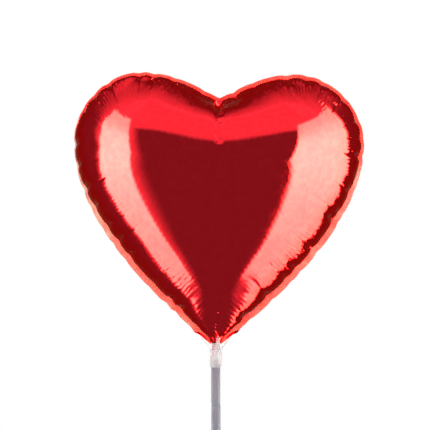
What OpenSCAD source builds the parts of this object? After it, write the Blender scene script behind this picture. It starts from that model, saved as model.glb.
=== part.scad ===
// Heart-shaped foil balloon, filled with air and carried on a cup and a hollow stick.
// The origin is the middle of the stick's lower end, +Z runs up the stick, and the
// heart's front faces -Y. Every size is in millimetres.

/* [Stick] */
// Length of the hollow stick
stick_len = 300; // [150:5:400]
// Outside diameter of the stick
stick_d = 6; // [5:0.5:7]
// Inside diameter of the stick
stick_bore = 4.2; // [3:0.2:4.6]
// Diameter of its drawn-down top end, which leaves room for the valve's tail
stick_top_d = 5.6; // [5:0.1:5.8]

/* [Cup] */
// How far the sleeve reaches down over the stick
cup_grip = 4.5; // [3:0.5:8]
// Length of the sleeve
sleeve_len = 11; // [10:0.5:16]
// Wall thickness of the sleeve and its petals
cup_wall = 0.5; // [0.4:0.05:0.8]
// Room between the stick's top end and the sleeve, which the valve's tail wedges into
wedge_gap = 0.6; // [0.55:0.05:0.8]
// Number of petals
petals = 4; // [3:1:5]
// Height of the petals above the sleeve
petal_rise = 8.4; // [6:0.2:9]
// Distance of the petals' tips from the axis
petal_reach = 10.2; // [8:0.2:11]
// Turn of the petals about the stick, in degrees
petal_turn = 10; // [0:1:45]

/* [Heart] */
// Width of the inflated heart, over its sealed margin
heart_w = 185; // [150:1:220]
// Height from the heart's tip to the tops of its lobes
heart_h = 171.5; // [140:1:200]
// Thickness of the inflated heart, front to back
heart_depth = 92; // [70:1:110]
// Depth of the cleft below the tops of the lobes
cleft_depth = 15.8; // [10:0.2:20]
// Width of the sealed margin
margin_w = 4.5; // [3:0.5:6]
// Thickness of the solids that stand for the foil
film_t = 0.3; // [0.3:0.1:0.8]
// Height of the heart's tip above the sleeve
tip_gap = 3.8; // [3:0.2:5]

/* [Valve] */
// Length of the valve inside the heart
valve_inside = 36; // [25:1:60]
// Width of the valve inside the heart
valve_w = 18; // [10:1:24]
// Length of the clear tail that shows below the cup
tail_below = 23; // [10:1:40]
// Angle of the stick's side that the tail covers, in degrees
tail_wrap = 64; // [30:2:90]

/* [Hidden] */

stick_r = stick_d / 2;
stick_top_r = stick_top_d / 2;
bore_r = stick_top_r + wedge_gap;
sleeve_r = bore_r + cup_wall;
cup_z = stick_len - cup_grip;
mouth_z = cup_z + sleeve_len;
tip_z = mouth_z + tip_gap;

// The half width of the filling channel left open in the margin at the heart's tip
channel = 3.1;
// The margin is one flat band, and a foil panel lies on each side of it
margin_t = 0.6;
ply_t = 0.14;

// Points of a cubic curve, without its last one
function cubic(a, b, c, d, n) = [for (i = [0 : n - 1]) let (t = i / n, s = 1 - t)
    s * s * s * a + 3 * s * s * t * b + 3 * s * t * t * c + t * t * t * d];

// Right half of the heart's outline, from the channel at the tip up to the cleft
flank_rise = 39;
wide = [heart_w / 2, 0.742 * heart_h];
lobe = [0.261 * heart_w, heart_h];
cleft = [0, heart_h - cleft_depth];
flank_start = [channel, 0];
flank_lean = flank_start + 0.25 * heart_w * [cos(flank_rise), sin(flank_rise)];
half_heart = concat(
    cubic(flank_start, flank_lean, wide - [0, 0.29 * heart_h], wide, 18),
    cubic(wide, wide + [0, 0.123 * heart_h], lobe + [0.128 * heart_w, 0], lobe, 12),
    cubic(lobe, lobe - [0.114 * heart_w, 0], cleft + [0.057 * heart_w, 5.3], cleft, 10),
    [cleft]);
last = len(half_heart) - 1;
heart = concat(half_heart, [for (i = [last - 1 : -1 : 0]) [-half_heart[i].x, half_heart[i].y]]);

// The outline moved inwards by d, square to its own edge
function unit(v) = v / norm(v);
function inward(p, i) = let (n = len(p), u = unit(p[(i + 1) % n] - p[i]),
    v = unit(p[i] - p[(i + n - 1) % n]), m = unit([-u.y - v.y, u.x + v.x])) m / max(0.6, m * [-u.y, u.x]);
function inset(p, d) = [for (i = [0 : len(p) - 1]) p[i] + d * inward(p, i)];

// The puffed panel: rings of the outline shrink towards the heart's middle, grow rounder and rise
middle = [0, 0.56 * heart_h];
round_r = 0.36 * heart_w;
rings = 12;
function ring(p, k) = let (w = 0.85 * (1 - k)) [for (q = p)
    middle + k * ((1 - w) * (q - middle) + w * round_r * unit(q - middle))];
function puff(k, d) = d * pow(1 - pow(k, 2.3), 0.62);
function dome(p, d) = [for (i = [0 : rings - 1]) let (k = sin(90 * (rings - i) / rings), y = margin_t / 2 + puff(k, d))
    for (q = ring(p, k)) [q.x, y, tip_z + q.y]];

// A closed shell between two domes with the same number of points
module puffed_panel() {
    outer = inset(heart, margin_w);
    inner = inset(heart, margin_w + film_t);
    n = len(outer);
    crown = heart_depth / 2 - margin_t / 2;
    count = rings * n;
    top = [middle.x, margin_t / 2 + crown, tip_z + middle.y];
    points = concat(dome(outer, crown), [top], dome(inner, crown - film_t), [top - [0, film_t, 0]]);
    skin = [for (i = [0 : rings - 2], j = [0 : n - 1])
        [i * n + j, (i + 1) * n + j, (i + 1) * n + (j + 1) % n, i * n + (j + 1) % n]];
    cap = [for (j = [0 : n - 1]) [(rings - 1) * n + j, count, (rings - 1) * n + (j + 1) % n]];
    lining = [for (f = concat(skin, cap)) [for (k = [len(f) - 1 : -1 : 0]) f[k] + count + 1]];
    rim = [for (j = [0 : n - 1]) [j, (j + 1) % n, count + 1 + (j + 1) % n, count + 1 + j]];
    polyhedron(points, concat(skin, cap, lining, rim), convexity = 6);
}

// One ply of the valve: a strip swept down from inside the heart to the tail on the stick's side
tail_bottom = cup_z - tail_below;
fan_z = tip_z + 9;
valve_top = tip_z + valve_inside;
function ease(t) = let (c = min(1, max(0, t))) c * c * (3 - 2 * c);
levels = concat([tail_bottom, cup_z, stick_len + 0.4],
    [for (i = [1 : 8]) stick_len + 0.4 + (mouth_z - stick_len - 0.4) * i / 8],
    [tip_z, fan_z], [for (i = [1 : 5]) fan_z + (valve_top - fan_z) * i / 5]);
across = 10;
function flat_half(z) = let (w = ease((z - fan_z) / (valve_top - fan_z))) 2.7 + w * (valve_w / 2 - 2.7);
function strip(z, side, r, y) = let (s = ease((z - stick_len - 0.4) / (mouth_z - stick_len - 0.4)),
    a = 180 + side * tail_wrap / 2) (1 - s) * r * [cos(a), sin(a)] + s * [side * flat_half(z), y];
function ply_ring(z, r, y) = concat(
    [for (i = [0 : across]) let (q = strip(z, 2 * i / across - 1, r + ply_t, y - ply_t / 2)) [q.x, q.y, z]],
    [for (i = [across : -1 : 0]) let (q = strip(z, 2 * i / across - 1, r, y + ply_t / 2)) [q.x, q.y, z]]);

module ply(r, y) {
    n = 2 * across + 2;
    m = len(levels);
    points = [for (z = levels) each ply_ring(z, r, y)];
    sides = [for (i = [0 : m - 2], j = [0 : n - 1])
        [i * n + j, (i + 1) * n + j, (i + 1) * n + (j + 1) % n, i * n + (j + 1) % n]];
    low_end = [for (j = [0 : across - 1]) [j, j + 1, n - 2 - j, n - 1 - j]];
    high_end = [for (f = low_end) [for (k = [3 : -1 : 0]) f[k] + (m - 1) * n]];
    polyhedron(points, concat(sides, low_end, high_end), convexity = 6);
}

// The sleeve and the flared mouth above it, turned as one wall, before the petals are cut
petal_steps = 8;
root_half = 1.5;
tip_half = 0.9;
function flare(t) = [(petal_reach - sleeve_r) * pow(t, 1.25), mouth_z + petal_rise * t];
module flared_sleeve() {
    rise = [for (i = [0 : petal_steps]) i / petal_steps];
    inside = [for (t = rise) flare(t) + [bore_r, 0]];
    outside = [for (t = rise) flare(1 - t) + [sleeve_r, 0]];
    rotate_extrude($fn = 96) polygon(concat([[bore_r, cup_z]], inside, outside, [[sleeve_r, cup_z]]));
}

// The open space between one petal, along +X, and the next
module petal_slot() {
    far = petal_reach + 2;
    turn = 360 / petals;
    edge = [[root_half, root_half], [bore_r, root_half], [far, tip_half]];
    next = [for (i = [2 : -1 : 0]) let (q = edge[i])
        [q.x * cos(turn) + q.y * sin(turn), q.x * sin(turn) - q.y * cos(turn)]];
    corner = far * 1.4 * [cos(turn / 2), sin(turn / 2)];
    translate([0, 0, mouth_z]) linear_extrude(petal_rise + 1) polygon(concat(edge, [corner], next));
}

module stick() {
    top_end = cup_grip + tail_below + 1;
    color("lavender") difference() {
        union() {
            cylinder(h = stick_len - top_end, r = stick_r, $fn = 64);
            cylinder(h = stick_len, r = stick_top_r, $fn = 64);
        }
        translate([0, 0, -1]) cylinder(h = stick_len + 2, r = stick_bore / 2, $fn = 64);
    }
}

module balloon_cup() {
    color("gainsboro") difference() {
        flared_sleeve();
        for (i = [0 : petals - 1]) rotate([0, 0, petal_turn - 90 + 360 * i / petals]) petal_slot();
    }
}

module valve_front_film() { color("whitesmoke") ply(stick_top_r + 0.3, -0.13); }
module valve_back_film() { color("silver") ply(stick_top_r + 0.1, 0.13); }

module sealed_margin() {
    color("salmon") difference() {
        translate([0, margin_t / 2, tip_z]) rotate([90, 0, 0]) linear_extrude(margin_t) difference() {
            polygon(heart);
            polygon(inset(heart, margin_w + film_t + 0.4));
        }
        translate([-channel, -margin_t, tip_z - 1]) cube([2 * channel, 2 * margin_t, 4 * margin_w]);
    }
}

module back_foil() { color("darkred") puffed_panel(); }
module front_foil() { color("red") mirror([0, 1, 0]) puffed_panel(); }

stick();
balloon_cup();
valve_front_film();
valve_back_film();
sealed_margin();
front_foil();
back_foil();
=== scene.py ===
import math
import bpy
import bmesh
import numpy as np
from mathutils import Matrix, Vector
from mathutils.geometry import delaunay_2d_cdt, interpolate_bezier


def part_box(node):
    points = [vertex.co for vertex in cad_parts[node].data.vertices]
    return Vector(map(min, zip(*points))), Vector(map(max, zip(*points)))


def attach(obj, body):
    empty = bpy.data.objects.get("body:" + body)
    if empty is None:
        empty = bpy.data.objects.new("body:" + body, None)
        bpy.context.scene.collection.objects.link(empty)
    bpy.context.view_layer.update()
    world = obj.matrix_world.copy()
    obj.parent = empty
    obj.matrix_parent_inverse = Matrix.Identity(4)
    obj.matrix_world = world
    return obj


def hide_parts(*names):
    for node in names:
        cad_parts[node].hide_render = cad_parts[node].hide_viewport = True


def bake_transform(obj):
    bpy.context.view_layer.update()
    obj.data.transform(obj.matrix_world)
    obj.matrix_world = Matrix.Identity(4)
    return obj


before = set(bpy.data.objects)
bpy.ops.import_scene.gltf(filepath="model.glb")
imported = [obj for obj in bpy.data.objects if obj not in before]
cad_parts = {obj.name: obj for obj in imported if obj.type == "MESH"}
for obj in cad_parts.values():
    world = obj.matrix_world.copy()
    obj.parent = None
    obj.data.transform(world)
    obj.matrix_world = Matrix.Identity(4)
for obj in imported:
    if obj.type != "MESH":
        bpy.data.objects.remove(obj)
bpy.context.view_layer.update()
mm = 0.001

print("Reading the frame")
scene = bpy.context.scene
marginLow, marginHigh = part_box("sealed_margin")
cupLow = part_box("balloon_cup")[0]
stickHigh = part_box("stick")[1]
heartWidth = marginHigh.x - marginLow.x
heartHeight = marginHigh.z - marginLow.z
tipZ = marginLow.z


def aimCamera():
    view = {"span": 273.4 * mm, "distance": 1.3, "left": -0.6 * mm, "rise": 82.0 * mm}
    data = bpy.data.cameras.new("camera")
    camera = bpy.data.objects.new("camera", data)
    scene.collection.objects.link(camera)
    data.sensor_width = 36
    data.lens = data.sensor_width * view["distance"] / view["span"]
    camera.location = (view["left"], -view["distance"], tipZ + view["rise"])
    camera.rotation_euler = (math.pi / 2, 0, 0)
    scene.camera = camera


def mathNode(tree, operation, *values):
    node = tree.nodes.new("ShaderNodeMath")
    node.operation = operation
    for socket, value in zip(node.inputs, values):
        if isinstance(value, (int, float)):
            socket.default_value = value
        else:
            tree.links.new(value, socket)
    return node.outputs[0]


def smoothNode(tree, value, low, high):
    node = tree.nodes.new("ShaderNodeMapRange")
    node.interpolation_type = "SMOOTHSTEP"
    tree.links.new(value, node.inputs["Value"])
    node.inputs["From Min"].default_value = low
    node.inputs["From Max"].default_value = high
    return node.outputs[0]


def lightStudio():
    # tall softboxes left and right with a glow on their inner side, a bright ceiling, dim walls
    studio = {"base": 0.3, "ceiling": (44, 50, 124, 82, 1.05), "glow": (25, 46, 1.3, 0.55), "soft": 2.5,
              "boxes": ((-66, 21, 2, 50, 30.0, -0.45), (67, 39, 2, 50, 30.0, 0.72)), "hot": (10, 48, 0.5)}
    world = bpy.data.worlds.new("studio")
    scene.world = world
    world.use_nodes = True
    tree = world.node_tree
    tree.nodes.clear()
    direction = tree.nodes.new("ShaderNodeTexCoord").outputs["Generated"]
    parts = tree.nodes.new("ShaderNodeSeparateXYZ")
    tree.links.new(direction, parts.inputs[0])
    toFront = mathNode(tree, "MULTIPLY", parts.outputs["Y"], -1)
    azimuth = mathNode(tree, "ARCTAN2", parts.outputs["X"], toFront)
    elevation = mathNode(tree, "ARCSINE", parts.outputs["Z"])
    pitch = mathNode(tree, "ARCTAN2", parts.outputs["Z"], toFront)
    low, full, end, fadeFrom, power = studio["ceiling"]
    rising = smoothNode(tree, pitch, math.radians(low), math.radians(full))
    falling = smoothNode(tree, pitch, math.radians(end), math.radians(fadeFrom))
    ceiling = mathNode(tree, "MULTIPLY", mathNode(tree, "MULTIPLY", rising, falling), power)
    aside = mathNode(tree, "ABSOLUTE", azimuth)
    low, full, power, skew = studio["glow"]
    below = mathNode(tree, "MAXIMUM", mathNode(tree, "MULTIPLY", elevation, -1), 0)
    aside = mathNode(tree, "SUBTRACT", aside, mathNode(tree, "MULTIPLY", below, skew))
    glow = smoothNode(tree, aside, math.radians(low), math.radians(full))
    glow = mathNode(tree, "MULTIPLY", glow, smoothNode(tree, aside, math.radians(96), math.radians(80)))
    glow = mathNode(tree, "MULTIPLY", glow, smoothNode(tree, elevation, math.radians(-62), math.radians(-40)))
    total = mathNode(tree, "MAXIMUM", ceiling, mathNode(tree, "MULTIPLY", glow, power))
    total = mathNode(tree, "ADD", total, studio["base"])
    blue = total
    far, near, least = studio["hot"][1], studio["hot"][0], studio["hot"][2]
    level = smoothNode(tree, mathNode(tree, "ABSOLUTE", elevation), math.radians(far), math.radians(near))
    level = mathNode(tree, "MULTIPLY_ADD", level, 1 - least, least)
    for middle, half, height, tall, power, skew in studio["boxes"]:
        edges = []
        skewed = mathNode(tree, "SUBTRACT", azimuth, mathNode(tree, "MULTIPLY", below, skew))
        for angle, centre, reach in ((skewed, middle, half), (elevation, height, tall)):
            off = mathNode(tree, "ABSOLUTE", mathNode(tree, "SUBTRACT", angle, math.radians(centre)))
            edges.append(smoothNode(tree, off, math.radians(reach + studio["soft"]),
                                    math.radians(reach - studio["soft"])))
        panel = mathNode(tree, "MULTIPLY", mathNode(tree, "MULTIPLY", *edges), level)
        total = mathNode(tree, "MULTIPLY_ADD", panel, power, total)
        blue = mathNode(tree, "MULTIPLY_ADD", panel, power * 0.5, blue)
    tint = tree.nodes.new("ShaderNodeCombineXYZ")
    for socket, value in zip(tint.inputs, (total, total, blue)):
        tree.links.new(value, socket)
    seen = tree.nodes.new("ShaderNodeBackground")
    lit = tree.nodes.new("ShaderNodeBackground")
    seen.inputs["Strength"].default_value = 1.0
    seen.inputs["Color"].default_value = (1, 1, 1, 1)
    tree.links.new(tint.outputs[0], lit.inputs["Color"])
    path = tree.nodes.new("ShaderNodeLightPath")
    mirror = mathNode(tree, "SUBTRACT", path.outputs["Is Glossy Ray"], path.outputs["Is Transmission Ray"])
    mix = tree.nodes.new("ShaderNodeMixShader")
    tree.links.new(mirror, mix.inputs["Fac"])
    tree.links.new(seen.outputs[0], mix.inputs[1])
    tree.links.new(lit.outputs[0], mix.inputs[2])
    tree.links.new(mix.outputs[0], tree.nodes.new("ShaderNodeOutputWorld").inputs["Surface"])
    scene.view_settings.view_transform = "Standard"


def layFloor():
    bm = bmesh.new()
    bmesh.ops.create_grid(bm, x_segments=1, y_segments=1, size=1.6)
    bmesh.ops.translate(bm, verts=bm.verts, vec=(0, 0, -2 * mm))
    floor = finishMesh("floor", bm)
    pale = plainMaterial("paleFloor", {"Base Color": (0.9, 0.9, 0.9, 1), "Roughness": 0.8})
    floor.data.materials.append(pale)
    floor.visible_glossy = False


def finishMesh(name, bm):
    mesh = bpy.data.meshes.new(name)
    bm.to_mesh(mesh)
    bm.free()
    mesh.shade_smooth()
    piece = bpy.data.objects.new(name, mesh)
    scene.collection.objects.link(piece)
    return piece


def plainMaterial(name, settings):
    material = bpy.data.materials.new(name)
    material.use_nodes = True
    shader = material.node_tree.nodes["Principled BSDF"]
    for socket, value in settings.items():
        shader.inputs[socket].default_value = value
    return material


def appliedModifiers(piece):
    # replaces the mesh by what its modifiers make of it
    graph = bpy.context.evaluated_depsgraph_get()
    mesh = bpy.data.meshes.new_from_object(piece.evaluated_get(graph))
    piece.modifiers.clear()
    old = piece.data
    piece.data = mesh
    bpy.data.meshes.remove(old)


def readPoints(mesh):
    flat = np.empty(len(mesh.vertices) * 3)
    mesh.vertices.foreach_get("co", flat)
    return flat.reshape(-1, 3)


def writePoints(mesh, points):
    mesh.vertices.foreach_set("co", points.ravel())
    mesh.update()


# the heart's outline and its seam, in the plane of the margin, millimetres above the tip
outline = {"tipHalf": 3.1, "flankRise": 39.0, "flankPull": 0.25, "wideAt": 0.742, "widePull": 0.29,
           "lobePull": 0.123, "lobeAt": 0.261, "lobeReach": 0.128, "cleftPull": 0.114,
           "cleftLean": 0.057, "cleftRise": 5.3, "cleftDepth": 15.8, "shallow": (3.0, 0.1, 0.3)}
seamPlan = {"width": 4.5, "step": 1.6, "indent": 1.2, "wander": 1.1,
            "creases": 17, "creaseFrom": 0.1, "creaseTo": 0.96, "creaseJitter": 0.35,
            "tiltAt": (0.0, 0.04, 0.10, 0.36, 0.46, 0.56, 0.66, 0.76, 0.9, 1.0),
            "leftTilt": (66, 50, 36, 38, 74, 84, 80, 76, 68, 66),
            "rightTilt": (66, 50, 36, 36, 52, 70, 74, 68, 62, 64),
            "swayAt": (0.0, 0.06, 0.2, 0.36, 0.46, 0.56, 0.64, 0.70, 0.85, 1.0),
            "leftSway": (0, -0.5, -1, 1.5, 5, 6, 0, -5.5, -7, -3),
            "rightSway": (0, -0.5, -1, 0, 1.5, 1.5, -1.5, -3.5, -4.5, -3), "seed": 11}


def heartOutline(cleftDepth, cleftLean, cleftRise):
    # right half from the tip to the cleft, then the left half back to the tip
    o = outline
    width, height = heartWidth / mm, heartHeight / mm
    rise = math.radians(o["flankRise"])
    start = Vector((o["tipHalf"], 0))
    wide = Vector((width / 2, o["wideAt"] * height))
    lobe = Vector((o["lobeAt"] * width, height))
    cleft = Vector((0, height - cleftDepth))
    pull = o["flankPull"] * width * Vector((math.cos(rise), math.sin(rise)))
    spans = ((start, start + pull, wide - Vector((0, o["widePull"] * height)), wide),
             (wide, wide + Vector((0, o["lobePull"] * height)),
              lobe + Vector((o["lobeReach"] * width, 0)), lobe),
             (lobe, lobe - Vector((o["cleftPull"] * width, 0)),
              cleft + Vector((cleftLean * width, cleftRise)), cleft))
    half = []
    for span in spans:
        half += [tuple(p) for p in interpolate_bezier(*span, 200)[:-1]]
    half.append(tuple(cleft))
    half = np.array(half)
    return np.vstack([half, half[-2::-1] * (-1, 1)])


def runAlong(points):
    return np.concatenate([[0], np.cumsum(np.linalg.norm(np.diff(points, axis=0), axis=1))])


def evenly(points, count, closed=True):
    line = np.vstack([points, points[:1]]) if closed else points
    run = runAlong(line)
    at = np.linspace(0, run[-1], count, endpoint=not closed)
    return np.stack([np.interp(at, run, line[:, k]) for k in range(2)], 1)


def inwardNormals(points, rounds=3):
    for _ in range(rounds):
        points = (np.roll(points, 1, 0) + 2 * points + np.roll(points, -1, 0)) / 4
    along = np.roll(points, -1, 0) - np.roll(points, 1, 0)
    along /= np.linalg.norm(along, axis=1)[:, None]
    return np.stack([-along[:, 1], along[:, 0]], 1)


def insideLoop(loop, points):
    x, y = points[:, 0], points[:, 1]
    inside = np.zeros(len(points), bool)
    before = loop[-1]
    for here in loop:
        crosses = (here[1] > y) != (before[1] > y)
        reach = (before[0] - here[0]) * (y - here[1]) / (before[1] - here[1] + 1e-12) + here[0]
        inside ^= crosses & (x < reach)
        before = here
    return inside


def nearest(points, loop):
    distance = np.empty(len(points))
    index = np.empty(len(points), int)
    for first in range(0, len(points), 500):
        gaps = np.linalg.norm(points[first:first + 500, None] - loop[None], axis=2)
        distance[first:first + 500] = gaps.min(1)
        index[first:first + 500] = gaps.argmin(1)
    return distance, index


def planSeam():
    p = seamPlan
    rng = np.random.default_rng(p["seed"])
    outer = heartOutline(outline["cleftDepth"], outline["cleftLean"], outline["cleftRise"])
    length = runAlong(outer)[-1]
    count = int(length / p["step"])
    outer = evenly(outer, count, closed=False)
    smoothOuter = evenly(heartOutline(*outline["shallow"]), count, closed=False)
    share = np.linspace(0, 2, count)
    fraction = np.where(share < 1, share, 2 - share)
    tilt = np.radians(np.where(share < 1, np.interp(fraction, p["tiltAt"], p["rightTilt"]),
                               np.interp(fraction, p["tiltAt"], p["leftTilt"])))
    tilt = np.convolve(np.pad(tilt, 12, mode="edge"), np.full(25, 1 / 25), mode="valid")
    normal = inwardNormals(outer)
    seam = outer + normal * (p["width"] * np.cos(tilt))[:, None]
    seam[:, 1] -= 2.0 * np.exp(-(fraction / 0.014) ** 2)
    puffedSeam = smoothOuter + inwardNormals(smoothOuter) * (p["width"] * np.cos(tilt))[:, None]
    # creases pull the seam in and to one side
    run = share * length / 2
    pullIn = np.zeros(count)
    sway = np.where(share < 1, np.interp(fraction, p["swayAt"], p["rightSway"]),
                    np.interp(fraction, p["swayAt"], p["leftSway"]))
    soften = np.exp(-np.linspace(-2, 2, 41) ** 2)
    aside = np.convolve(np.pad(sway, 20, mode="edge"), soften / soften.sum(), mode="valid")
    lean = -np.tanh(-aside / 2 + 0.6)
    marks = []
    spacing = (p["creaseTo"] - p["creaseFrom"]) / (p["creases"] - 1)
    for side in (1, -1):
        jitter = rng.uniform(-1, 1, p["creases"]) * p["creaseJitter"] * spacing
        for place in np.linspace(p["creaseFrom"], p["creaseTo"], p["creases"]) + jitter:
            at = place * length / 2 if side > 0 else length - place * length / 2
            off = run - at
            deep = rng.uniform(0.5, 1.3)
            pullIn += deep * p["indent"] * np.exp(-(off / 2.4) ** 2)
            aside += rng.uniform(-1, 1) * p["wander"] * np.exp(-(off / 6.0) ** 2)
            marks.append((at, deep))
    return {"outer": outer, "seam": seam, "puffedSeam": puffedSeam, "normal": normal, "tilt": tilt,
            "run": run, "pullIn": pullIn, "aside": aside, "lean": lean, "fraction": fraction, "marks": marks}


film = {"fineGrow": 1.13, "coarse": 3.6, "puff": 46.0, "puffReach": 27.0, "seed": 5,
        "frames": 30, "scale": 10.0, "pressure": 20.0, "stiffness": 80.0, "squeeze": 1.0, "shear": 3.0,
        "bending": 0.05,
        "mass": 0.3, "airDamping": 10.0, "quality": 5,
        "slackMiddle": 0.03, "slackSeam": 0.2, "slackReach": 14.0,
        "foldReach": 16.0, "smooth": 30,
        "tipReach": 22.0}


def filmMesh(plan):
    # the panel's flat net: fine rings along the seam, an even net inside
    seam = plan["puffedSeam"]
    normal = inwardNormals(seam)
    count = len(seam)
    step = seamPlan["step"]
    rings, distance, gap, odd = [seam], 0.0, step * 0.9, False
    while gap < film["coarse"] * 0.85:
        distance += gap
        ring = seam + normal * distance
        size = max(24, int(count * step / max(step, gap * 1.1)))
        ring = evenly(ring, size)
        odd = not odd
        if odd:
            ring = (ring + np.roll(ring, -1, 0)) / 2
        clear = insideLoop(seam, ring) & (nearest(ring, seam)[0] > distance * 0.93)
        rings.append(ring[clear])
        gap *= film["fineGrow"]
    low, high = seam.min(0), seam.max(0)
    pitch = film["coarse"]
    rows = np.arange(low[1], high[1], pitch * math.sqrt(3) / 2)
    net = np.array([(x + (pitch / 2 if j % 2 else 0), y) for j, y in enumerate(rows)
                    for x in np.arange(low[0], high[0], pitch)])
    net = net[insideLoop(seam, net)]
    net = net[nearest(net, seam)[0] > distance + gap * 0.6]
    points = np.vstack(rings + [net])
    edges = [(i, (i + 1) % count) for i in range(count)]
    result = delaunay_2d_cdt([Vector(p) for p in points], edges, [list(range(count))], 1, 1e-5)
    flat = np.array([tuple(p) for p in result[0]])
    faces = [tuple(f) for f in result[2] if len(f) == 3]
    place = {}
    for index, sources in enumerate(result[3]):
        for source in sources:
            if source < count:
                place[source] = index
    rim = np.array([place[i] for i in range(count)])
    return flat, faces, rim


def puffFilm(plan):
    flat, faces, rim = filmMesh(plan)
    rng = np.random.default_rng(film["seed"])
    seam = plan["puffedSeam"]
    inward = inwardNormals(seam)
    distance, near = nearest(flat, seam)
    onRim = np.zeros(len(flat), bool)
    onRim[rim] = True
    # pull the net with the creased seam
    placed = flat.copy()
    pull = inward[near] * plan["pullIn"][near][:, None]
    placed += pull * np.exp(-(distance / 4.0) ** 2)[:, None]
    placed[rim] = seam + inward * plan["pullIn"][:, None]
    aside = plan["aside"][near] * np.exp(-(distance / 6.0) ** 2)
    aside[rim] = plan["aside"]
    puff = film["puff"] * (1 - np.exp(-distance / film["puffReach"]))
    puff = puff / (1 - math.exp(-65 / film["puffReach"]))
    puff = puff + rng.normal(0, 0.03, len(flat))
    puff[onRim] = 0
    # one closed skin: front panel, then the back panel's own points
    twin = np.where(onRim, np.arange(len(flat)), 0)
    twin[~onRim] = len(flat) + np.arange((~onRim).sum())
    front = np.stack([placed[:, 0], aside - puff, placed[:, 1]], 1)
    back = np.stack([placed[:, 0], aside + puff, placed[:, 1]], 1)[~onRim]
    skin = np.vstack([front, back])
    corners = skin[list(faces[0])]
    if np.cross(corners[1] - corners[0], corners[2] - corners[0])[1] > 0:
        faces = [f[::-1] for f in faces]
    allFaces = faces + [tuple(int(twin[i]) for i in f[::-1]) for f in faces]
    scale = film["scale"] * mm
    mesh = bpy.data.meshes.new("skin")
    mesh.from_pydata((skin * scale).tolist(), [], allFaces)
    skinObject = bpy.data.objects.new("skin", mesh)
    scene.collection.objects.link(skinObject)
    pinned = skinObject.vertex_groups.new(name="seam")
    pinned.add([int(i) for i in rim], 1.0, "REPLACE")
    slack = skinObject.vertex_groups.new(name="slack")
    fade = np.exp(-(distance / film["slackReach"]) ** 2)
    fade *= np.clip(flat[:, 1] / 30 - 0.15, 0, 1)
    back = 0.55 + 0.45 * np.clip(-plan["aside"][near] / 5, 0, 1)
    fore = 0.55 + 0.45 * np.clip(plan["aside"][near] / 5, 0, 1)
    for index in range(len(flat)):
        slack.add([int(twin[index])], float(fade[index] * back[index]), "REPLACE")
        slack.add([index], float(fade[index] * fore[index]), "REPLACE")
    blowUp(skinObject)
    points = readPoints(skinObject.data) / scale
    bpy.data.objects.remove(skinObject)
    bothDistance = np.concatenate([distance, distance[~onRim]])
    points = evenOut(points, allFaces, bothDistance)
    # fold the cleft in
    target = plan["seam"] + plan["normal"] * plan["pullIn"][:, None]
    shift = target - (seam + inward * plan["pullIn"][:, None])
    bothNear = np.concatenate([near, near[~onRim]])
    shift = shift[bothNear] * np.exp(-(bothDistance / film["foldReach"]) ** 2)[:, None]
    points[:, [0, 2]] += shift
    run = plan["run"][near]
    return {"points": points, "faces": faces, "twin": twin, "distance": distance, "run": run,
            "rim": rim, "near": near}


def evenOut(points, faces, distance):
    # irons out the net's own lumps, less and less towards the seam, and the drawn film at the tip
    faces = np.array(faces)
    pairs = np.vstack([faces[:, [0, 1]], faces[:, [1, 2]], faces[:, [2, 0]]])
    share = np.clip((distance - 5) / 16, 0, 1) ** 1.5
    tip = 0.4 * np.exp(-(points[:, 2] / film["tipReach"]) ** 2) * np.clip(distance / 3, 0, 1)
    share = np.maximum(share, tip)
    count = np.bincount(pairs[:, 0], minlength=len(points))[:, None]
    for turn in range(2 * film["smooth"]):
        total = np.zeros_like(points)
        np.add.at(total, pairs[:, 0], points[pairs[:, 1]])
        pull = 0.5 if turn % 2 == 0 else -0.515
        points = points + (total / count - points) * (pull * share)[:, None]
    return points


def blowUp(skinObject):
    f = film
    cloth = skinObject.modifiers.new("blowUp", "CLOTH")
    s = cloth.settings
    s.quality = f["quality"]
    s.mass = f["mass"]
    s.air_damping = f["airDamping"]
    s.bending_model = "ANGULAR"
    s.tension_stiffness = f["stiffness"]
    s.compression_stiffness = f["squeeze"]
    s.shear_stiffness = f["shear"]
    s.bending_stiffness = f["bending"]
    s.vertex_group_mass = "seam"
    s.pin_stiffness = 1.0
    s.vertex_group_shrink = "slack"
    s.shrink_min = -f["slackMiddle"]
    s.shrink_max = -f["slackSeam"]
    s.use_pressure = True
    s.uniform_pressure_force = f["pressure"]
    s.effector_weights.gravity = 0
    cloth.collision_settings.use_collision = False
    cloth.collision_settings.use_self_collision = False
    cloth.point_cache.frame_end = f["frames"]
    for number in range(1, f["frames"] + 1):
        scene.frame_set(number)
    appliedModifiers(skinObject)
    scene.frame_set(1)


def panelPiece(name, skin, back):
    index = skin["twin"] if back else np.arange(len(skin["twin"]))
    points = skin["points"][index] * mm
    points[:, 2] += tipZ
    faces = [f[::-1] for f in skin["faces"]] if back else skin["faces"]
    mesh = bpy.data.meshes.new(name)
    mesh.from_pydata(points.tolist(), [], faces)
    for label, values in (("seamDistance", skin["distance"]), ("seamRun", skin["run"])):
        mesh.attributes.new(label, "FLOAT", "POINT").data.foreach_set("value", values.astype(np.float32))
    piece = bpy.data.objects.new(name, mesh)
    scene.collection.objects.link(piece)
    smooth = piece.modifiers.new("smooth", "SUBSURF")
    smooth.levels = smooth.render_levels = 2
    appliedModifiers(piece)
    ripple(piece.data, 1 if back else 0)
    piece.data.shade_smooth()
    return piece


ripples = {"pitch": 2.5, "height": 0.2, "reach": 14.5, "from": 0.8, "creaseHalf": 0.75, "creaseDepth": 0.85,
           "creaseReach": 13.0, "cleftDepth": 3.0, "cleftHalf": 1.3, "cleftReach": 27.0,
           "at": (0.0, 0.08, 0.2, 0.36, 0.46, 0.6, 0.7, 0.8, 1.0),
           "share": (0.0, 0.7, 1.1, 0.8, 0.35, 0.5, 1.5, 1.6, 2.0)}


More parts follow.
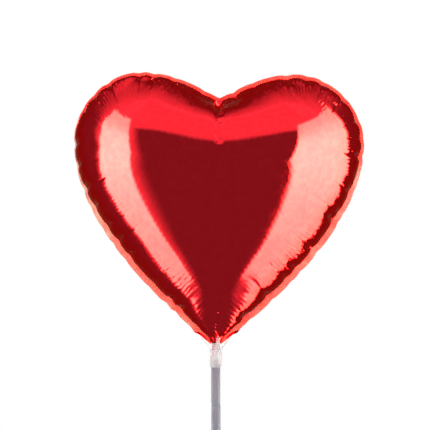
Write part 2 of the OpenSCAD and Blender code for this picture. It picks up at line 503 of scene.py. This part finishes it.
def ripple(mesh, phase):
    # fine pleats square to the seam, fading inwards
    count = len(mesh.vertices)
    distance = np.empty(count, np.float32)
    run = np.empty(count, np.float32)
    mesh.attributes["seamDistance"].data.foreach_get("value", distance)
    mesh.attributes["seamRun"].data.foreach_get("value", run)
    normals = np.empty(count * 3, np.float32)
    mesh.vertices.foreach_get("normal", normals)
    normals = normals.reshape(-1, 3)
    r = ripples
    turn = 2 * math.pi * run / r["pitch"]
    wander = 1.3 * np.sin(run / 7.3 + phase) + 0.9 * np.sin(run / 3.1 + 2 * phase)
    strength = 0.6 + 0.4 * np.sin(run / 11.7 + 1.3 + 3 * phase)
    half = run.max() / 2
    strength *= np.interp(np.minimum(run, 2 * half - run) / half, r["at"], r["share"])
    fade = np.exp(-(distance / r["reach"]) ** 2) * np.clip(distance / r["from"], 0, 1)
    height = r["height"] * strength * fade * np.sin(turn + wander)
    start = np.clip(distance / 1.5, 0, 1)
    for index, (at, deep) in enumerate(plan["marks"]):
        long = r["creaseReach"] * (0.5 + 0.6 * ((index * 0.618 + 0.3 * phase) % 1))
        line = np.exp(-((run - at) / r["creaseHalf"]) ** 2) * np.exp(-(distance / long) ** 2)
        height -= r["creaseDepth"] * deep * start * line
    line = np.exp(-np.abs(run - half) / r["cleftHalf"]) * np.exp(-(distance / r["cleftReach"]) ** 2)
    height -= r["cleftDepth"] * start * line
    writePoints(mesh, readPoints(mesh) + normals * (height * mm)[:, None])


def leanOver(mesh):
    # the heart stands a little off upright on its neck
    turn = math.radians(0.8)
    points = readPoints(mesh)
    rise = points[:, 2] - tipZ
    share = np.clip(rise / 0.02, 0, 1)
    moved = points.copy()
    moved[:, 0] += math.sin(turn) * rise * share
    moved[:, 2] -= math.sin(turn) * points[:, 0] * share
    writePoints(mesh, moved)


band = {"columns": 12, "thick": 0.1, "ruffle": 0.5, "corner": 13.0, "cornerOut": 1.0, "cornerReach": 2.2,
        "foldFrom": 3.0, "foldTo": 13.5, "foldShare": 0.55}


def sealedBand(plan):
    b = band
    rng = np.random.default_rng(7)
    count = len(plan["seam"])
    edge = plan["seam"] + plan["normal"] * plan["pullIn"][:, None]
    outer = plan["outer"] + plan["normal"] * (plan["pullIn"] * 0.6)[:, None]
    # each side has a corner that juts out beside the neck; below it the band is folded over, shown only by
    # giving that part the plain foil material
    fromTip = np.minimum(plan["run"], plan["run"].max() - plan["run"])
    juts = b["cornerOut"] * np.exp(-((fromTip - b["corner"]) / b["cornerReach"]) ** 2)
    outer = outer - plan["normal"] * juts[:, None]
    depth = seamPlan["width"] * np.sin(plan["tilt"]) * plan["lean"]
    wave = np.convolve(rng.normal(0, 1, count + 8), np.hanning(9), mode="valid") * b["ruffle"]
    rows = []
    for column in range(b["columns"]):
        t = column / (b["columns"] - 1) * 1.03 - 0.03
        flat = edge + (outer - edge) * t
        y = plan["aside"] + (depth + wave) * t
        rows.append(np.stack([flat[:, 0], y, flat[:, 1]], 1))
    points = np.concatenate(rows) * mm
    points[:, 2] += tipZ
    faces = []
    for column in range(b["columns"] - 1):
        low = column * count
        faces += [(low + i, low + count + i, low + count + i + 1, low + i + 1) for i in range(count - 1)]
    mesh = bpy.data.meshes.new("sealedBand")
    mesh.from_pydata(points.tolist(), [], faces)
    middle = (b["foldFrom"] + b["foldTo"]) / 2
    half = (b["foldTo"] - b["foldFrom"]) / 2
    folded = b["foldShare"] * np.sqrt(np.clip(1 - ((fromTip - middle) / half) ** 2, 0, 1))
    # faces not folded over take the painted reflection colour, the folded-over ones the plain red foil
    for index, face in enumerate(mesh.polygons):
        column, at = divmod(index, count - 1)
        face.material_index = int((column + 0.5) / (b["columns"] - 1) > 1 - folded[at])
    run = np.tile(plan["run"], b["columns"]).astype(np.float32)
    mesh.attributes.new("seamRun", "FLOAT", "POINT").data.foreach_set("value", run)
    piece = bpy.data.objects.new("sealedBand", mesh)
    scene.collection.objects.link(piece)
    leanOver(mesh)
    mesh.shade_smooth()
    shell = piece.modifiers.new("thick", "SOLIDIFY")
    shell.thickness = b["thick"] * mm
    shell.offset = 0
    return piece


# the valve's two plies of clear film, from inside the heart down the stick's side
valve = {"inside": 36.0, "width": 18.0, "neck": 5.4, "below": 23.0, "wrap": 64.0, "thick": 0.05, "fan": 9.0,
         "rows": 110, "across": 28}


def valvePly(name, radius, y, phase):
    v = valve
    top = tipZ / mm + v["inside"]
    bottom = cupLow.z / mm - v["below"]
    stickTop = stickHigh.z / mm
    mouth = cupLow.z / mm + 11
    fan = tipZ / mm + v["fan"]
    bm = bmesh.new()
    grid = []
    for i in range(v["rows"] + 1):
        z = bottom + (top - bottom) * i / v["rows"]
        spread = easeIn((z - fan) / (top - fan))
        flatten = easeIn((z - stickTop - 0.4) / (mouth - stickTop - 0.4))
        row = []
        for j in range(v["across"] + 1):
            side = 2 * j / v["across"] - 1
            angle = math.radians(180 + side * v["wrap"] / 2)
            half = (v["neck"] + spread * (v["width"] - v["neck"])) / 2
            crimp = 0.018 * math.sin(z * 2.1 + side * 3 + phase) * math.sin(side * 9 + phase)
            x = (1 - flatten) * (radius + crimp) * math.cos(angle) + flatten * side * half
            depth = (1 - flatten) * (radius + crimp) * math.sin(angle) + flatten * (y + crimp)
            row.append(bm.verts.new((x * mm, depth * mm, z * mm)))
        grid.append(row)
    for low, high in zip(grid, grid[1:]):
        for j in range(v["across"]):
            bm.faces.new((low[j], low[j + 1], high[j + 1], high[j]))
    piece = finishMesh(name, bm)
    shell = piece.modifiers.new("thick", "SOLIDIFY")
    shell.thickness = v["thick"] * mm
    shell.offset = 0
    # cut as a tongue: wide inside the heart, tapering to the neck and on to the stick
    tail = math.radians(v["wrap"]) * radius
    area = (v["width"] + v["neck"]) / 2 * (top - fan) + v["neck"] * (fan - mouth)
    area += (v["neck"] + tail) / 2 * (mouth - stickTop) + tail * (stickTop - bottom)
    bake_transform(piece)
    return piece


def easeIn(t):
    t = min(1, max(0, t))
    return t * t * (3 - 2 * t)


# the cup: a sleeve with four narrow petals
cup = {"bore": 3.4, "wall": 0.5, "sleeve": 11.0, "rise": 8.4, "reach": 10.2, "petals": 4, "turn": 10.0,
       "around": 48, "petalColumns": 6, "rootHalf": 1.45, "tipHalf": 0.95, "rows": 12, "lip": 0.12}


def makeCup():
    c = cup
    middle = c["bore"] + c["wall"] / 2
    bm = bmesh.new()
    rings = []
    start = math.radians(c["turn"] - 90 - c["petalColumns"] / 2 * 360 / c["around"])
    for i in range(9):
        z = cupLow.z / mm + c["sleeve"] * i / 8
        ring = []
        for j in range(c["around"]):
            angle = start + 2 * math.pi * j / c["around"]
            x = middle * math.cos(angle)
            y = middle * math.sin(angle)
            ring.append(bm.verts.new((x * mm, y * mm, z * mm)))
        rings.append(ring)
    for low, high in zip(rings, rings[1:]):
        for j in range(c["around"]):
            k = (j + 1) % c["around"]
            bm.faces.new((low[j], low[k], high[k], high[j]))
    for petal in range(c["petals"]):
        first = petal * c["around"] // c["petals"]
        heading = math.radians(c["turn"] - 90 + 360 * petal / c["petals"])
        below = [rings[-1][(first + j) % c["around"]] for j in range(c["petalColumns"] + 1)]
        for i in range(1, c["rows"] + 1):
            t = i / c["rows"]
            radius = middle + (c["reach"] - middle - c["wall"]) * t ** 1.25
            z = cupLow.z / mm + c["sleeve"] + c["rise"] * t
            half = c["rootHalf"] + (c["tipHalf"] - c["rootHalf"]) * t
            half *= math.sqrt(max(0.12, 1 - max(0, (t - 0.84) / 0.18) ** 2))
            row = []
            for j in range(c["petalColumns"] + 1):
                side = 2 * j / c["petalColumns"] - 1
                off = half * side
                out = math.sqrt(max(radius ** 2 - off ** 2, 0))
                x = out * math.cos(heading) - off * math.sin(heading)
                y = out * math.sin(heading) + off * math.cos(heading)
                row.append(bm.verts.new((x * mm, y * mm, z * mm)))
            for j in range(c["petalColumns"]):
                bm.faces.new((below[j], below[j + 1], row[j + 1], row[j]))
            below = row
    bmesh.ops.recalc_face_normals(bm, faces=bm.faces)
    piece = finishMesh("clearCup", bm)
    shell = piece.modifiers.new("wall", "SOLIDIFY")
    shell.thickness = c["wall"] * mm
    shell.offset = 0
    soften = piece.modifiers.new("edges", "BEVEL")
    soften.affect = "EDGES"
    soften.width = c["lip"] * mm
    soften.profile = 0.5
    soften.material = -1
    soften.segments = 2
    soften.limit_method = "ANGLE"
    soften.angle_limit = math.radians(50)
    smooth = piece.modifiers.new("smooth", "SUBSURF")
    smooth.levels = smooth.render_levels = 1
    return piece


stick = {"radius": 3.0, "topRadius": 2.8, "bore": 2.1, "drawn": 28.5, "round": 0.15, "around": 96}


def makeStick():
    k = stick
    high = stickHigh.z / mm
    r, t, b, e = k["radius"], k["topRadius"], k["bore"], k["round"]
    drawn = high - k["drawn"]
    profile = [(b, e), (b + e * 0.3, e * 0.3), (b + e, 0), (r - e, 0), (r - e * 0.3, e * 0.3), (r, e)]
    profile += [(r, drawn * i / 6) for i in range(1, 6)]
    profile += [(r, drawn - 0.2), (r - 0.03, drawn - 0.06), (t + 0.03, drawn + 0.15), (t, drawn + 0.4)]
    profile += [(t, high - e), (t - e * 0.3, high - e * 0.3), (t - e, high), (b + e, high)]
    profile += [(b + e * 0.3, high - e * 0.3), (b, high - e)]
    profile += [(b, high * i / 6) for i in range(5, 0, -1)]
    bm = bmesh.new()
    loop = [bm.verts.new((x * mm, 0, z * mm)) for x, z in profile]
    edges = [bm.edges.new((loop[i], loop[(i + 1) % len(loop)])) for i in range(len(loop))]
    bmesh.ops.spin(bm, geom=loop + edges, cent=(0, 0, 0), axis=(0, 0, 1), angle=2 * math.pi,
                   steps=k["around"], use_merge=True)
    bmesh.ops.recalc_face_normals(bm, faces=bm.faces)
    return finishMesh("hollowStick", bm)


def grainGroup():
    # fine uneven surface: a height, and a mask between 0 and 1
    group = bpy.data.node_groups.new("fineGrain", "ShaderNodeTree")
    for name, kind in (("Vector", "NodeSocketVector"), ("Scale", "NodeSocketFloat")):
        group.interface.new_socket(name, in_out="INPUT", socket_type=kind)
    for name in ("Height", "Mask"):
        group.interface.new_socket(name, in_out="OUTPUT", socket_type="NodeSocketFloat")
    enter = group.nodes.new("NodeGroupInput")
    leave = group.nodes.new("NodeGroupOutput")
    fine = group.nodes.new("ShaderNodeTexNoise")
    fine.inputs["Detail"].default_value = 3
    group.links.new(enter.outputs["Vector"], fine.inputs["Vector"])
    group.links.new(enter.outputs["Scale"], fine.inputs["Scale"])
    group.links.new(fine.outputs["Fac"], leave.inputs["Height"])
    mask = smoothNode(group, fine.outputs["Fac"], 0.35, 0.7)
    group.links.new(mask, leave.inputs["Mask"])
    return group


def grained(name, settings, grain, scale, stretch, height, roughness, colours=None):
    material = plainMaterial(name, settings)
    tree = material.node_tree
    shader = tree.nodes["Principled BSDF"]
    coords = tree.nodes.new("ShaderNodeTexCoord")
    place = tree.nodes.new("ShaderNodeMapping")
    place.inputs["Scale"].default_value = stretch
    tree.links.new(coords.outputs["Object"], place.inputs["Vector"])
    texture = tree.nodes.new("ShaderNodeGroup")
    texture.node_tree = grain
    texture.inputs["Scale"].default_value = scale
    tree.links.new(place.outputs[0], texture.inputs["Vector"])
    bump = tree.nodes.new("ShaderNodeBump")
    bump.inputs["Distance"].default_value = height * mm
    bump.inputs["Strength"].default_value = 1.0
    tree.links.new(texture.outputs["Height"], bump.inputs["Height"])
    tree.links.new(bump.outputs[0], shader.inputs["Normal"])
    spread = tree.nodes.new("ShaderNodeMapRange")
    spread.inputs["To Min"].default_value = roughness[0]
    spread.inputs["To Max"].default_value = roughness[1]
    tree.links.new(texture.outputs["Mask"], spread.inputs["Value"])
    tree.links.new(spread.outputs[0], shader.inputs["Roughness"])
    if colours:
        blend = tree.nodes.new("ShaderNodeMix")
        blend.data_type = "RGBA"
        blend.inputs[6].default_value = colours[0]
        blend.inputs[7].default_value = colours[1]
        tree.links.new(texture.outputs["Mask"], blend.inputs["Factor"])
        tree.links.new(blend.outputs[2], shader.inputs["Base Color"])
    return material


def crimpLines(material, pitch, height):
    # the seal's fine creases, across the band
    tree = material.node_tree
    shader = tree.nodes["Principled BSDF"]
    run = tree.nodes.new("ShaderNodeAttribute")
    run.attribute_name = "seamRun"
    turn = mathNode(tree, "MULTIPLY", run.outputs["Fac"], 2 * math.pi / pitch)
    wave = mathNode(tree, "SINE", turn)
    second = mathNode(tree, "SINE", mathNode(tree, "MULTIPLY", turn, 0.37))
    bump = tree.nodes.new("ShaderNodeBump")
    bump.inputs["Distance"].default_value = height * mm
    tree.links.new(mathNode(tree, "MULTIPLY", wave, second), bump.inputs["Height"])
    before = shader.inputs["Normal"].links[0].from_socket
    tree.links.new(before, bump.inputs["Normal"])
    tree.links.new(bump.outputs[0], shader.inputs["Normal"])


def makeMaterials():
    grain = grainGroup()
    made = {}
    made["foil"] = grained("redFoil", {"Metallic": 1.0, "Specular Tint": (0.9, 0.45, 0.4, 1)},
                           grain, 260, (1, 1, 1), 0.0015, (0.045, 0.08),
                           ((0.74, 0.016, 0.026, 1), (0.78, 0.019, 0.03, 1)))
    # the sealed band is the same red metallic foil: this flat salmon-pink is painted reflection of the studio
    # light on its crimped face, laid over the foil's own red
    made["sealed"] = grained("sealedFoilPaintedReflection", {"Specular IOR Level": 0.06},
                             grain, 200, (1, 1, 1), 0.004, (0.32, 0.42),
                             ((0.95, 0.3, 0.22, 1), (1.0, 0.42, 0.32, 1)))
    crimpLines(made["sealed"], 2.2, 0.03)
    filmSettings = {"Base Color": (0.72, 0.73, 0.76, 1), "Alpha": 0.42, "Specular IOR Level": 0.08}
    made["film"] = grained("clearFilm", filmSettings, grain, 300, (1, 1, 0.4), 0.02, (0.3, 0.5))
    cupSettings = {"Base Color": (0.82, 0.84, 0.88, 1), "Alpha": 0.4, "Specular IOR Level": 0.12}
    made["cup"] = grained("clearPlastic", cupSettings, grain, 200, (1, 1, 1), 0.01, (0.25, 0.4))
    made["stick"] = grained("stickPlastic", {"Alpha": 0.64, "Specular IOR Level": 0.08},
                            grain, 500, (1, 1, 0.03), 0.006, (0.5, 0.65),
                            ((0.36, 0.37, 0.45, 1), (0.41, 0.42, 0.5, 1)))
    # the bore's wall is the same clear plastic: this near-black blue is painted shade of the hollow, seen
    # through the stick's wall as a darker line down its middle
    made["bore"] = grained("stickBorePaintedShade", {"Specular IOR Level": 0.08},
                           grain, 500, (1, 1, 0.03), 0.006, (0.4, 0.55),
                           ((0.1, 0.1, 0.17, 1), (0.13, 0.13, 0.2, 1)))
    return made


aimCamera()
lightStudio()
layFloor()
materials = makeMaterials()
print("Planning the seam")
plan = planSeam()
print("Blowing up the film")
skin = puffFilm(plan)
print("Making the panels")
for name, node, back in (("frontPanel", "front_foil", False), ("backPanel", "back_foil", True)):
    panel = panelPiece(name, skin, back)
    panel.data.materials.append(materials["foil"])
    leanOver(panel.data)
    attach(panel, "balloon")
    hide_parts(node)
    print(name, len(panel.data.polygons), "faces")
print("Making the sealed band")
bandPiece = sealedBand(plan)
# first the painted reflection colour, then the plain foil for the folded-over faces
bandPiece.data.materials.append(materials["sealed"])
bandPiece.data.materials.append(materials["foil"])
bandPiece.visible_glossy = False
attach(bandPiece, "balloon")
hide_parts("sealed_margin")
print("Making the valve")
for name, node, radius, y, phase in (("valveFront", "valve_front_film", 3.17, -0.13, 0.4),
                                     ("valveBack", "valve_back_film", 2.97, 0.13, 2.0)):
    ply = valvePly(name, radius, y, phase)
    ply.data.materials.append(materials["film"])
    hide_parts(node)
print("Making the cup and the stick")
cupPiece = makeCup()
cupPiece.data.materials.append(materials["cup"])
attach(cupPiece, "cup")
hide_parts("balloon_cup")
stickPiece = makeStick()
stickPiece.data.materials.append(materials["stick"])
stickPiece.data.materials.append(materials["bore"])
# faces inside the bore take the painted shade colour
for face in stickPiece.data.polygons:
    if math.hypot(face.center.x, face.center.y) < (stick["bore"] + 0.02) * mm:
        face.material_index = 1
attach(stickPiece, "stick")
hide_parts("stick")
